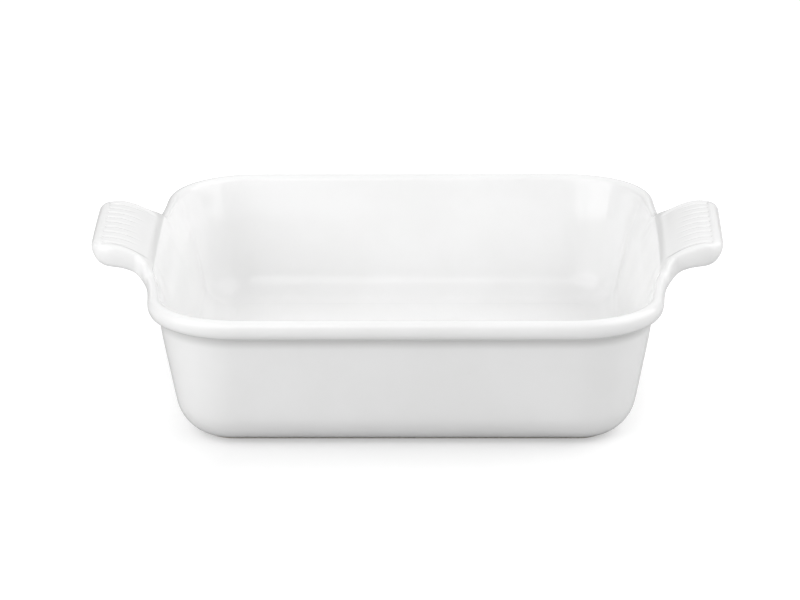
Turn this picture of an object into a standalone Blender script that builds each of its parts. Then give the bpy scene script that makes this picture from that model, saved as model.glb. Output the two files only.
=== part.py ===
"""Square baking dish with a rolled rim and two ribbed lug handles, in glazed stoneware.

Metres, +Z up. The origin lies on the table under the middle of the dish, and X runs
through both handles. The real dish is one fired casting. Its foot, floor, wall, rim and
handles are separate solids here, parted along the lines where the casting changes form.
Every square outline is given by its inset from the outer line of the rim.
"""

import math

import bmesh
import bpy

MM = 0.001

# Plan
RIM_WIDTH = 245.0 * MM
RIM_CORNER_RADIUS = 43.5 * MM
CORNER_TAPER = 1.1  # corner radius lost for each unit of inset

# Rim bead
RIM_HEIGHT = 67.2 * MM
BEAD_HEIGHT = 10.4 * MM
BEAD_OVERHANG = 5.2 * MM
CROWN_RADIUS = 3.7 * MM

# Wall and floor
WALL_DRAFT = math.radians(11.2)
WALL_THICKNESS = 5.4 * MM
COVE_RADIUS = 20.6 * MM
INNER_COVE_RADIUS = 16.0 * MM
FLOOR_THICKNESS = 6.7 * MM
FLOOR_SETBACK = 1.0 * MM  # from the coves' inner ends to the edge of the floor

# Unglazed foot
FOOT_HEIGHT = 1.0 * MM
FOOT_WIDTH = 5.0 * MM
FOOT_SETBACK = 2.5 * MM  # from the lowest part of the cove
FOOT_CHAMFER = 0.35 * MM

# Handles
HANDLE_REACH = 30.3 * MM  # beyond the rim
HANDLE_RISE = 12.2 * MM  # above the rim
HANDLE_WIDTH = 73.0 * MM
HANDLE_ROOT_WIDTH = 92.0 * MM
HANDLE_THICKNESS = 13.0 * MM
HANDLE_LEVEL = 6.5 * MM  # level stretch at the tip
TIP_CORNER_RADIUS = 11.0 * MM
TIP_LAND = 0.15 * MM  # flat left at the very end of the tip
NOSE_TOP = (4.8 * MM, 4.2 * MM)  # run and drop of the nose above its end
NOSE_UNDER_RUN = 14.0 * MM  # of the slope under the nose
NOSE_UNDER_POWER = 1.5  # 2 makes that slope an ellipse, and less flattens it
EDGE_TOP = (2.5 * MM, 3.0 * MM)  # width and drop of the rounded upper edge
EDGE_UNDER = (4.5 * MM, 4.5 * MM)  # width and rise of the rounded lower edge
EDGE_SHARES = (0.4, 0.5)  # most of the thickness that the upper and the lower edge may take
FILLET_REACH = 14.0 * MM
FILLET_CROWDING = 1.6  # draws the fillet's sections together at the root, where it bends most
SEAT_INSET = 3.0 * MM  # how far the handle is let into the bead
FLARE_END = 78.0 * MM  # where the bead starts to swell, from the middle of the side
FLARE_REACH = 4.0 * MM  # swell of the bead at the handle's root
FLARE_POWER = 1.5

# Grip grooves
GROOVE_COUNT = 9
GROOVE_PITCH = 7.8 * MM
GROOVE_WIDTH = 2.6 * MM
GROOVE_DEPTH = 0.8 * MM
GROOVE_TIP_MARGIN = 5.5 * MM
GROOVE_LENGTH = 21.0 * MM
GROOVE_END_RUN = 0.8 * MM  # a groove's short slope at the tip
GROOVE_FADE = 9.0 * MM  # its long slope at the root

JOINT_GAP = 0.3 * MM
CUTTER_SPAN = 20.0 * MM

CORNER_STEPS = 8
COVE_STEPS = 6
CROWN_STEPS = 8
EDGE_STEPS = 4
FLARE_STEPS = 5
SMOOTH_ANGLE = math.radians(40)

GLAZE = (0.86, 0.86, 0.85, 1.0)
BISQUE = (0.68, 0.64, 0.57, 1.0)

HALF_RIM = RIM_WIDTH / 2
UNDERCUT_HEIGHT = RIM_HEIGHT - BEAD_HEIGHT
EQUATOR_HEIGHT = RIM_HEIGHT - CROWN_RADIUS
UNDERSIDE = FOOT_HEIGHT + JOINT_GAP
INSIDE_FLOOR = UNDERSIDE + FLOOR_THICKNESS
ROOT_HALF = HANDLE_ROOT_WIDTH / 2
TIP_X = HALF_RIM + HANDLE_REACH
ROOT_X = HALF_RIM - SEAT_INSET + JOINT_GAP
SWELL_X = HALF_RIM + FLARE_REACH


def steps(start, end, count):
    """Evenly spaced values from start to end, both included."""
    return [start + (end - start) * i / count for i in range(count + 1)]


def clear_scene():
    for obj in list(bpy.data.objects):
        bpy.data.objects.remove(obj, do_unlink=True)


def material(name, colour, roughness):
    made = bpy.data.materials.new(name)
    made.use_nodes = True
    shader = made.node_tree.nodes["Principled BSDF"]
    shader.inputs["Base Color"].default_value = colour
    shader.inputs["Roughness"].default_value = roughness
    shader.inputs["Metallic"].default_value = 0.0
    return made


def add_object(name, bm, colour, roughness):
    """Turns a bmesh into a smooth-shaded object with a material of its own."""
    bmesh.ops.recalc_face_normals(bm, faces=bm.faces)
    mesh = bpy.data.meshes.new(name)
    bm.to_mesh(mesh)
    bm.free()
    mesh.shade_smooth()
    mesh.set_sharp_from_angle(angle=SMOOTH_ANGLE)
    mesh.materials.append(material(name + "_finish", colour, roughness))
    obj = bpy.data.objects.new(name, mesh)
    bpy.context.collection.objects.link(obj)
    return obj


def corner_radius(inset):
    return RIM_CORNER_RADIUS - CORNER_TAPER * inset


def square_outline(inset, height, side_stops=()):
    """Rounded square, anticlockwise from above, with extra points on the sides that carry handles."""
    half = HALF_RIM - inset
    radius = corner_radius(inset)
    centre = half - radius
    points = []
    for corner, (sx, sy) in enumerate(((1, 1), (-1, 1), (-1, -1), (1, -1))):
        for angle in steps(corner * math.pi / 2, (corner + 1) * math.pi / 2, CORNER_STEPS):
            x = sx * centre + radius * math.cos(angle)
            y = sy * centre + radius * math.sin(angle)
            points.append((x, y, height))
        if corner == 1:
            points += [(-half, y, height) for y in reversed(side_stops)]
        if corner == 3:
            points += [(half, y, height) for y in side_stops]
    return points


def skin(bm, loops, closed):
    """Joins loops of vertices, one after another, with quads."""
    pairs = list(zip(loops, loops[1:]))
    if closed:
        pairs.append((loops[-1], loops[0]))
    for low, high in pairs:
        for i in range(len(low)):
            j = (i + 1) % len(low)
            bm.faces.new((low[i], low[j], high[j], high[i]))


def square_ring(section):
    """Solid ring whose cross-section is a closed list of (inset, height)."""
    bm = bmesh.new()
    loops = [[bm.verts.new(p) for p in square_outline(inset, height)] for inset, height in section]
    skin(bm, loops, closed=True)
    return bm


def wall_inset(height):
    """Inset of the wall's outer face."""
    return BEAD_OVERHANG + (UNDERCUT_HEIGHT - height) * math.tan(WALL_DRAFT)


def cove_centre(radius, level, side):
    """Inset of the centre of an arc that touches a level plane and the wall's face moved in by side."""
    touch_height = level + radius * (1 - math.sin(WALL_DRAFT))
    return wall_inset(touch_height) + side + radius * math.cos(WALL_DRAFT)


def cove_arc(radius, level, side, lowest):
    """Points of a cove, from the height called lowest up to where it touches the wall."""
    centre = cove_centre(radius, level, side)
    start = math.asin(1 - (lowest - level) / radius)
    return [(centre - radius * math.cos(a), level + radius - radius * math.sin(a))
            for a in steps(start, WALL_DRAFT, COVE_STEPS)]


def floor_edge_inset():
    """Inset at which the wall's ring ends and the floor begins."""
    outer = cove_centre(COVE_RADIUS, 0.0, 0.0)
    inner = cove_centre(INNER_COVE_RADIUS, INSIDE_FLOOR, WALL_THICKNESS)
    return max(outer, inner) + FLOOR_SETBACK


def make_floor():
    """Flat slab inside the ring of the wall."""
    bm = bmesh.new()
    inset = floor_edge_inset() + JOINT_GAP / 2
    loops = [[bm.verts.new(p) for p in square_outline(inset, z)] for z in (UNDERSIDE, INSIDE_FLOOR)]
    skin(bm, loops, closed=False)
    bm.faces.new(loops[0])
    bm.faces.new(loops[1])
    return add_object("floor", bm, GLAZE, 0.1)


def make_wall():
    """Ring of the tapered wall with the cove at its foot, outside and inside."""
    edge = floor_edge_inset() - JOINT_GAP / 2
    top = UNDERCUT_HEIGHT - JOINT_GAP / 2
    outer = cove_arc(COVE_RADIUS, 0.0, 0.0, UNDERSIDE) + [(wall_inset(top), top)]
    inner = cove_arc(INNER_COVE_RADIUS, INSIDE_FLOOR, WALL_THICKNESS, INSIDE_FLOOR)
    inner += [(wall_inset(top) + WALL_THICKNESS, top)]
    section = [(edge, UNDERSIDE)] + outer + inner[::-1] + [(edge, INSIDE_FLOOR)]
    return add_object("wall", square_ring(section), GLAZE, 0.1)


def make_foot_ring():
    """Unglazed ring that the dish stands on, just inside the lowest part of the cove."""
    outer = cove_arc(COVE_RADIUS, 0.0, 0.0, UNDERSIDE)[0][0] + FOOT_SETBACK
    inner = outer + FOOT_WIDTH
    section = [(outer, FOOT_HEIGHT), (outer, FOOT_CHAMFER), (outer + FOOT_CHAMFER, 0.0),
               (inner - FOOT_CHAMFER, 0.0), (inner, FOOT_CHAMFER), (inner, FOOT_HEIGHT)]
    return add_object("foot_ring", square_ring(section), BISQUE, 0.8)


def flare(y):
    """How far the bead swells outwards at a place along the side."""
    run = (FLARE_END - max(abs(y), ROOT_HALF)) / (FLARE_END - ROOT_HALF)
    return FLARE_REACH * max(run, 0.0) ** FLARE_POWER


def bead_underside(swell):
    """Lower outside of the bead, from the undercut up to its widest line, swollen outwards."""
    low = UNDERCUT_HEIGHT + JOINT_GAP / 2
    return [(BEAD_OVERHANG - (BEAD_OVERHANG + swell) * math.sin(a),
             EQUATOR_HEIGHT - (EQUATOR_HEIGHT - low) * math.cos(a))
            for a in steps(0.0, math.pi / 2, EDGE_STEPS)]


def bead_crown(swell):
    """Rounded top of the bead, from its widest line over to the inside."""
    points = []
    for a in steps(0.0, math.pi, CROWN_STEPS):
        outward = CROWN_RADIUS * math.cos(a)
        if outward > 0:
            outward *= 1 + swell / CROWN_RADIUS
        points.append((CROWN_RADIUS - outward, EQUATOR_HEIGHT + CROWN_RADIUS * math.sin(a)))
    return points


def rim_section(swell):
    low = UNDERCUT_HEIGHT + JOINT_GAP / 2
    return bead_underside(swell) + bead_crown(swell)[1:] + [(wall_inset(low) + WALL_THICKNESS, low)]


def make_rim():
    """Rolled bead all round, cut back to a flat seat for each handle."""
    bm = bmesh.new()
    stops = steps(-FLARE_END, -ROOT_HALF, FLARE_STEPS) + steps(ROOT_HALF, FLARE_END, FLARE_STEPS)
    plain = rim_section(0.0)
    loops = []
    for index, (inset, height) in enumerate(plain):
        points = []
        for x, y, z in square_outline(inset, height, stops):
            if abs(y) <= FLARE_END and abs(x) > FLARE_END:
                x = math.copysign(HALF_RIM - rim_section(flare(y))[index][0], x)
            points.append(bm.verts.new((x, y, z)))
        loops.append(points)
    skin(bm, loops, closed=True)
    bmesh.ops.triangulate(bm, faces=bm.faces)  # the swollen faces are twisted, and a cut needs flat ones
    rim = add_object("rim", bm, GLAZE, 0.1)
    for side in (1, -1):
        cut_seat(rim, side)
    return rim


def cut_seat(rim, side):
    """Cuts away the outer part of the bead where a handle grows from it."""
    cutter = bpy.data.objects.new("seat_cutter", bpy.data.meshes.new("seat_cutter"))
    bm = bmesh.new()
    bmesh.ops.create_cube(bm, size=1.0)
    bmesh.ops.scale(bm, verts=bm.verts, vec=(CUTTER_SPAN, HANDLE_ROOT_WIDTH + 2 * JOINT_GAP, 2 * RIM_HEIGHT))
    bm.to_mesh(cutter.data)
    bm.free()
    cutter.location = (side * (HALF_RIM - SEAT_INSET + CUTTER_SPAN / 2), 0, RIM_HEIGHT)
    cutter.hide_render = True
    cutter.display_type = 'WIRE'
    bpy.context.collection.objects.link(cutter)
    cut = rim.modifiers.new("handle seat", 'BOOLEAN')
    cut.operation = 'DIFFERENCE'
    cut.solver = 'EXACT'
    cut.object = cutter


def quarter(distance, reach, size, power=2.0):
    """Height of a rounded quarter, from 0 at its end to size after reach."""
    inside = min(distance / reach, 1.0)
    return size * (1 - (1 - inside) ** power) ** (1 / power)


def handle_top(x):
    """Height of the handle's upper face: a parabola up from the rim that ends level."""
    bend_run = HANDLE_REACH + SEAT_INSET - HANDLE_LEVEL
    left = max(TIP_X - HANDLE_LEVEL - x, 0.0) / bend_run
    return RIM_HEIGHT + HANDLE_RISE * (1 - left ** 2)


def handle_span(x):
    """Lowest and highest height of the handle at a distance from the middle of the dish."""
    nose = handle_top(TIP_X) - NOSE_TOP[1]
    top = handle_top(x)
    low = top - HANDLE_THICKNESS
    to_tip = TIP_X - x
    if to_tip < NOSE_TOP[0]:
        top = nose + quarter(to_tip, *NOSE_TOP)
    if to_tip < NOSE_UNDER_RUN:
        level = handle_top(TIP_X - NOSE_UNDER_RUN) - HANDLE_THICKNESS
        low = nose - quarter(to_tip, NOSE_UNDER_RUN, nose - level, NOSE_UNDER_POWER)
    return low, top


def handle_half_width(x):
    """Half width in plan: a block at the root, a concave fillet, a straight blade, round corners."""
    half = HANDLE_WIDTH / 2
    past = (x - SWELL_X) / FILLET_REACH
    spread = ROOT_HALF - half
    if past <= 0:
        return ROOT_HALF
    if past < 1:
        half += spread * (1 - math.sqrt(1 - (1 - past) ** 2))
    to_tip = TIP_X - x
    if to_tip < TIP_CORNER_RADIUS:
        half -= TIP_CORNER_RADIUS - quarter(to_tip, TIP_CORNER_RADIUS, TIP_CORNER_RADIUS)
    return half


def bead_span(x):
    """Lowest and highest height of the swollen bead beside the handle's root."""
    out = min(max(x - HALF_RIM + BEAD_OVERHANG, 0.0) / (BEAD_OVERHANG + FLARE_REACH), 1.0)
    low = EQUATOR_HEIGHT - (EQUATOR_HEIGHT - UNDERCUT_HEIGHT) * math.sqrt(1 - out ** 2)
    out = min(max(x - HALF_RIM + CROWN_RADIUS, 0.0) / (CROWN_RADIUS + FLARE_REACH), 1.0)
    high = EQUATOR_HEIGHT + CROWN_RADIUS * math.sqrt(1 - out ** 2)
    return low, high


def groove_cut(x, y):
    """Depth of the grip grooves at a point of the upper face."""
    nearest = round(y / GROOVE_PITCH)
    if abs(nearest) > GROOVE_COUNT // 2 or abs(y - nearest * GROOVE_PITCH) > GROOVE_WIDTH / 4:
        return 0.0
    from_tip = TIP_X - GROOVE_TIP_MARGIN - x
    to_root = GROOVE_LENGTH - from_tip
    return GROOVE_DEPTH * max(min(from_tip / GROOVE_END_RUN, to_root / GROOVE_FADE, 1.0), 0.0)


def top_columns():
    """Places across the handle: both edges and the bottom of every groove."""
    places = []
    for index in range(GROOVE_COUNT):
        middle = (index - (GROOVE_COUNT - 1) / 2) * GROOVE_PITCH
        places += [middle - GROOVE_WIDTH / 2, middle, middle + GROOVE_WIDTH / 2]
    return places


def handle_section(x):
    """Closed cross-section of the handle at x, as (y, z), anticlockwise seen from the tip."""
    low, top = handle_span(x)
    half = handle_half_width(x)
    spread = max(half - HANDLE_WIDTH / 2, 0.0)
    share = spread / (ROOT_HALF - HANDLE_WIDTH / 2)
    bead_low, bead_high = bead_span(x)
    thick = top - low
    side_top = top - min(EDGE_TOP[1], thick * EDGE_SHARES[0])
    side_low = low + min(EDGE_UNDER[1], thick * EDGE_SHARES[1])
    side_top += (bead_high + JOINT_GAP - side_top) * share
    side_low += (bead_low - JOINT_GAP - side_low) * share
    top_half = half - spread - min(EDGE_TOP[0], half)
    low_half = half - spread - min(EDGE_UNDER[0], half)
    squeeze = min(top_half / (HANDLE_WIDTH / 2 - EDGE_TOP[0]), 1.0)
    across = [(y * squeeze, top - groove_cut(x, y)) for y in top_columns()]
    angles = steps(0.0, math.pi / 2, EDGE_STEPS)
    upper = [(top_half + (half - top_half) * math.sin(a), side_top + (top - side_top) * math.cos(a))
             for a in angles]
    lower = [(low_half + (half - low_half) * math.cos(a), side_low + (low - side_low) * math.sin(a))
             for a in angles]
    right = upper + lower
    left = [(-y, z) for y, z in reversed(right)]
    return across + right + left


def handle_stations():
    """Distances from the middle of the dish at which the handle's cross-section is drawn."""
    fillet_end = SWELL_X + FILLET_REACH
    groove_end = TIP_X - GROOVE_TIP_MARGIN
    stations = steps(ROOT_X, SWELL_X, 4)
    stations += [SWELL_X + FILLET_REACH * share ** FILLET_CROWDING for share in steps(0.0, 1.0, 7)[1:]]
    stations += steps(fillet_end, groove_end - GROOVE_END_RUN, 2)[1:] + [groove_end]
    nose = TIP_X - groove_end - TIP_LAND
    stations += [TIP_X - TIP_LAND - nose * (1 - math.sin(a)) for a in steps(0.0, math.pi / 2, 5)[1:]]
    return stations


def make_handle(name, turn):
    """Lug handle lofted from the seat in the bead out to its nose."""
    bm = bmesh.new()
    loops = []
    for x in handle_stations():
        loops.append([bm.verts.new((x, y, z)) for y, z in handle_section(x)])
    skin(bm, loops, closed=False)
    bm.faces.new(loops[0])
    bm.faces.new(loops[-1])
    handle = add_object(name, bm, GLAZE, 0.1)
    handle.rotation_euler = (0.0, 0.0, turn)
    return handle


def build():
    clear_scene()
    make_foot_ring()
    make_floor()
    make_wall()
    make_rim()
    make_handle("handle_right", 0.0)
    make_handle("handle_left", math.pi)


build()
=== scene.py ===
"""Square baking dish in white glazed stoneware, on a pale studio table.

The dish is one fired casting. It is drawn here as one cage of rows and columns: a row runs
round the dish at one place of the wall's profile, and a column runs from the floor inside, over
the rim or out round a handle, to the floor outside. Subdivision makes it smooth, geometry nodes
press the grip panels and their grooves into the handles, and the result is parted into floor,
wall, rim and handles, which keep the shading of the whole. Lengths are metres in the frame.
"""

import math

import bmesh
import bpy
from bpy.props import FloatProperty, FloatVectorProperty, IntProperty, PointerProperty
from mathutils import Matrix, Vector


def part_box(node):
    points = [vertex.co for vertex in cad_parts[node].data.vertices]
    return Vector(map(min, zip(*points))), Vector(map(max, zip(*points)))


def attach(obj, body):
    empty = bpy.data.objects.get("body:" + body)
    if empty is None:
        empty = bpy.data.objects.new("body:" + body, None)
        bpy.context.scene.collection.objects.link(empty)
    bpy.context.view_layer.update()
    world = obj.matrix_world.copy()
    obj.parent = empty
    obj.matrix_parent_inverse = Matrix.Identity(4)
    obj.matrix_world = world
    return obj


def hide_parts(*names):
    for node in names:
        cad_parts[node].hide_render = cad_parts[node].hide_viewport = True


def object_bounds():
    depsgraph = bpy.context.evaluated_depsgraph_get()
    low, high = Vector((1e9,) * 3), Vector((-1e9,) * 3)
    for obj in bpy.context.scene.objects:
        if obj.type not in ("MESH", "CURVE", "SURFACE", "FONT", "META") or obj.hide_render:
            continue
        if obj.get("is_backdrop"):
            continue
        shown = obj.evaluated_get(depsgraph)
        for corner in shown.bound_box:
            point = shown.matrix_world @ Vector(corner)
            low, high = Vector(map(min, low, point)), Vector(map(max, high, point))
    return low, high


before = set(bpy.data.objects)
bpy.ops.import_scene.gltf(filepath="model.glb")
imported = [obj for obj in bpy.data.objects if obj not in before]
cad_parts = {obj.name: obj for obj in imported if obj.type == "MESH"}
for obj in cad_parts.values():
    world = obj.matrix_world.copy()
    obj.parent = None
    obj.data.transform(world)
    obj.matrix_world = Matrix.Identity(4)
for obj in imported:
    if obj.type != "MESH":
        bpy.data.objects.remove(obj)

bl_info = {
    "name": "Square Baking Dish",
    "version": (1, 0, 0),
    "blender": (4, 5, 0),
    "location": "View3D > Sidebar > Dish",
    "description": "Builds a square glazed baking dish with ribbed lug handles",
    "category": "Add Mesh",
}

MM = 0.001

RIM_LOW, RIM_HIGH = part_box("rim")
FLOOR_LOW, FLOOR_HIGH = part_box("floor")
WALL_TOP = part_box("wall")[1][2]
FOOT_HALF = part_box("foot_ring")[1][0]
TIP_X, _, HANDLE_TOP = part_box("handle_right")[1]

HALF_WIDTH = RIM_HIGH[1]  # middle of the dish to the outer line of the rim
RIM_TOP = RIM_HIGH[2]
PARTING_HEIGHT = (RIM_LOW[2] + WALL_TOP) / 2
FLOOR_SEAM = (FLOOR_HIGH[0] + FLOOR_HIGH[1]) / 2
FLOOR_TOP = FLOOR_HIGH[2]
UNDERSIDE = FLOOR_LOW[2]


class DishSizes(bpy.types.PropertyGroup):
    """Wall, rim and floor of the casting."""

    corner_radius: FloatProperty(
        name="Corner radius", description="Plan radius of the rim's corners",
        default=43.5 * MM, unit="LENGTH")
    corner_taper: FloatProperty(
        name="Corner taper", description="Corner radius lost for each unit of inset", default=1.1)
    draft: FloatProperty(
        name="Draft", description="Slope of the wall from upright",
        default=math.radians(11.2), subtype="ANGLE")
    wall_thickness: FloatProperty(
        name="Wall", description="Thickness of the wall", default=5.4 * MM, unit="LENGTH")
    overhang: FloatProperty(
        name="Overhang", description="How far the bead stands out from the wall",
        default=5.2 * MM, unit="LENGTH")
    crown: FloatProperty(
        name="Crown", description="Radius of the bead's top", default=3.7 * MM, unit="LENGTH")
    cove: FloatProperty(
        name="Cove", description="Radius where the wall turns under the dish",
        default=20.4 * MM, unit="LENGTH")
    inner_cove: FloatProperty(
        name="Inner cove", description="Radius between the wall and the floor inside",
        default=16 * MM, unit="LENGTH")
    foot_width: FloatProperty(
        name="Foot width", description="Width of the ring it stands on",
        default=5 * MM, unit="LENGTH")


class HandleSizes(bpy.types.PropertyGroup):
    """Lug handles."""

    half_width: FloatProperty(
        name="Half width", description="Half the width of the blade",
        default=39 * MM, unit="LENGTH")
    thickness: FloatProperty(
        name="Thickness", description="Thickness of the blade", default=11.7 * MM, unit="LENGTH")
    swell: FloatProperty(
        name="Swell", description="Thickness gained for each unit towards the tip", default=0.1)
    tip_radius: FloatProperty(
        name="Tip corners", description="Plan radius of the tip's corners",
        default=11 * MM, unit="LENGTH")
    level: FloatProperty(
        name="Level stretch", description="Level part of the blade at its tip",
        default=6.5 * MM, unit="LENGTH")
    droop: FloatProperty(
        name="Droop", description="How far the blade's long edges lie below its middle",
        default=0.9 * MM, unit="LENGTH")
    flare: FloatProperty(
        name="Flare", description="How far the top of the wall leans out inside, at the handle",
        default=5.6 * MM, unit="LENGTH")
    ridge_height: FloatProperty(
        name="Ridge height", description="Height of the crisp edge between inside and handle",
        default=68.7 * MM, unit="LENGTH")
    ridge_inset: FloatProperty(
        name="Ridge inset", description="From the rim's outer line in to that edge",
        default=0.5 * MM, unit="LENGTH")
    ridge_half: FloatProperty(
        name="Ridge half length", description="Half the length of that edge",
        default=46.3 * MM, unit="LENGTH")


class GrooveSizes(bpy.types.PropertyGroup):
    """Sunken grip panel and its grooves."""

    count: IntProperty(name="Count", description="Grooves on a handle", default=9)
    pitch: FloatProperty(
        name="Pitch", description="From groove to groove", default=7.8 * MM, unit="LENGTH")
    width: FloatProperty(
        name="Width", description="Width of a groove", default=3.0 * MM, unit="LENGTH")
    depth: FloatProperty(
        name="Depth", description="Depth of a groove", default=0.35 * MM, unit="LENGTH")
    margin: FloatProperty(
        name="Margin", description="From the tip in to the grooves",
        default=6.0 * MM, unit="LENGTH")
    length: FloatProperty(
        name="Length", description="Length of a groove", default=17 * MM, unit="LENGTH")
    panel_sink: FloatProperty(
        name="Panel sink", description="How far the panel lies below its border",
        default=0.6 * MM, unit="LENGTH")


class DishColours(bpy.types.PropertyGroup):
    """Colours of glaze, foot and table, and of the shade painted into the glaze."""

    glaze: FloatVectorProperty(
        name="Glaze", description="White glaze where it lies thick", subtype="COLOR",
        default=(0.925, 0.925, 0.925), min=0, max=1)
    glaze_thin: FloatVectorProperty(
        name="Thin glaze", description="White glaze where it lies thin", subtype="COLOR",
        default=(0.905, 0.905, 0.903), min=0, max=1)
    speck: FloatVectorProperty(
        name="Speck", description="Specks in the glaze", subtype="COLOR",
        default=(0.62, 0.56, 0.46), min=0, max=1)
    # Painted shade: the darker grey laid into the glaze in the valley behind each handle's ridge.
    valley: FloatVectorProperty(
        name="Valley", description="Glaze in the valley behind a handle's ridge",
        subtype="COLOR", default=(0.78, 0.78, 0.775), min=0, max=1)
    # Painted shade: the darker grey laid into the glaze on the neck under the bead, where the
    # bead's overhang shades the wall.
    neck: FloatVectorProperty(
        name="Neck", description="Glaze on the neck under the bead", subtype="COLOR",
        default=(0.74, 0.74, 0.735), min=0, max=1)
    stoneware: FloatVectorProperty(
        name="Stoneware", description="Bare body of the foot", subtype="COLOR",
        default=(0.68, 0.64, 0.57), min=0, max=1)
    stoneware_dark: FloatVectorProperty(
        name="Dark grain", description="Dark grain of the foot", subtype="COLOR",
        default=(0.55, 0.5, 0.43), min=0, max=1)
    stain: FloatVectorProperty(
        name="Stain", description="Wear on the foot", subtype="COLOR",
        default=(0.5, 0.45, 0.38), min=0, max=1)
    table: FloatVectorProperty(
        name="Table", description="Surface the dish stands on", subtype="COLOR",
        default=(0.6, 0.6, 0.6), min=0, max=1)
    table_lift: FloatProperty(
        name="Table lift", description="Brightness that the table adds for the camera alone",
        default=0.38)


class StudioLight(bpy.types.PropertyGroup):
    """Lamps and surroundings."""

    ambient: FloatProperty(name="Ambient", description="Strength of the surroundings",
                           default=0.475)
    power: FloatProperty(name="Power", description="All lamps together", default=1.0)


def sizes():
    return bpy.context.scene.dish_sizes


def handle_sizes():
    return bpy.context.scene.handle_sizes


def setting_names(group):
    """Names of what can be set in a property group."""
    return [name for name in group.bl_rna.properties.keys() if name not in ("rna_type", "name")]


def placed(name, data):
    """A new object in the scene, in the stead of an earlier one of that name."""
    old = bpy.data.objects.get(name)
    if old:
        bpy.data.objects.remove(old)
    made = bpy.data.objects.new(name, data)
    bpy.context.collection.objects.link(made)
    return made


def mix(low, high, share):
    return low + (high - low) * share


def smooth(share):
    share = min(max(share, 0.0), 1.0)
    return share * share * (3 - 2 * share)


def near(place, span):
    """1 up to the span's first place, fading smoothly to 0 at its second."""
    return smooth((span[1] - place) / (span[1] - span[0]))


def corner_radius(inset):
    """Plan radius of the corners at an inset from the rim's outer line."""
    return sizes().corner_radius - sizes().corner_taper * inset


def side_half(inset):
    """Half the straight length of a side at an inset."""
    return HALF_WIDTH - inset - corner_radius(inset)


def wall_inset(height):
    """Inset of the wall's outer face at a height."""
    return sizes().overhang + (PARTING_HEIGHT - height) * math.tan(sizes().draft)


def cove_rows(radius, level, lowest, side, count):
    """Points of a cove that is tangent to a level, from a lowest height up to the wall."""
    draft = sizes().draft
    touch = level + radius * (1 - math.sin(draft))
    centre = wall_inset(touch) + side + radius * math.cos(draft)
    rows = []
    for i in range(count + 1):
        angle = mix(math.asin(1 - (lowest - level) / radius), draft, i / count)
        rows.append((centre - radius * math.cos(angle), level + radius - radius * math.sin(angle)))
    return rows


# Rows of the cage, as (inset from the rim's outer line, height), from the floor inside over the
# rim to the floor outside.
INNER_COVE_STEPS = 6
INNER_WALL_HEIGHTS = (30 * MM, 40 * MM, 48 * MM)
LIP_ROWS = ((10.8 * MM, 52.5 * MM), (9.5 * MM, PARTING_HEIGHT), (8.3 * MM, 61.5 * MM))
LEAN_SHARES = (0.02, 0.09, 0.21, 0.32, 0.49, 0.75)  # of the lean at the wall's top, row by row
CROWN_INNER = (7.2 * MM, 65.0 * MM)
CROWN_INNER_DROP = RIM_TOP - CROWN_INNER[1]
CROWN_TURN = math.radians(73)  # of the bead's roll, from its top down to CROWN_INNER
TOP_STEPS = 8
TOP_SHARES = (0.04, 0.11, 0.23, 0.39, 0.57, 0.75, 0.9, 1.0)  # of the way in over a blade
EDGE_ANGLES = (22.5, 45.0, 67.5)
UNDER_BEAD = (
    (0.05 * MM, 62.3 * MM), (0.3 * MM, 61.0 * MM), (0.9 * MM, 59.6 * MM), (1.9 * MM, 58.5 * MM),
    (3.2 * MM, 57.9 * MM), (4.7 * MM, 57.6 * MM), (6.0 * MM, 57.2 * MM), (6.25 * MM, 56.0 * MM),
    (6.0 * MM, 54.0 * MM))
LOW_ANGLES = (22.5, 45.0, 67.5, 90.0)  # round a blade's lower edge
UNDER_SHARES = (0.3, 0.58, 0.8, 0.93)  # of the way in beneath a blade
OUTER_WALL_HEIGHTS = (47 * MM, 38 * MM, 29 * MM)
OUTER_COVE_STEPS = 7
FLAT_SHARES = (0.75, 0.5, 0.25)  # rings of the floor's flat middle

# Columns along half of a side that carries a handle, by their distance from its middle.
COLUMN_PITCH = 1.95 * MM
TIP_COLUMNS = 12
ARC_COLUMNS = 6
FAN_PLACES = tuple(place * MM for place in (  # closest where handle and rim part
    37.0, 39.0, 41.0, 42.8, 44.6, 46.4, 48.2, 49.9, 51.4, 52.7, 54.2, 56.4, 59.6, 64.0, 69.0,
    74.0))
NECK_PLACE = 41.0 * MM  # where the blade's side ends and its fillet starts
ROOT_PLACE = 49.9 * MM  # where the handle is parted from the rim
FRONT_COLUMNS = 20
CORNER_COLUMNS = 12

# Spans along that side, which near() reads: all of a form up to the first, none from the second.
TIP_SPAN = (20 * MM, 36 * MM)
BLADE_SPAN = (40 * MM, 56 * MM)
FLANK_SPAN = (32 * MM, 42 * MM)
TOP_SPAN = (42 * MM, 52 * MM)
LIP_SPAN = (34 * MM, 52 * MM)
FLARE_SPAN = (30 * MM, 98 * MM)
SLIP_START = (24 * MM, 38 * MM)
SLIP_END = (46 * MM, 61 * MM)
CREASE_SPAN = (49.3 * MM, 51.5 * MM)
FAINT_CREASE_SPAN = (60 * MM, 84 * MM)
CREASE, FAINT_CREASE = 0.9, 0.3  # sharpness of the ridge, and of the line that carries it on
RIDGE_FADE = 0.8 * MM  # half the length over which the ridge turns into the rim's roll

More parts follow.
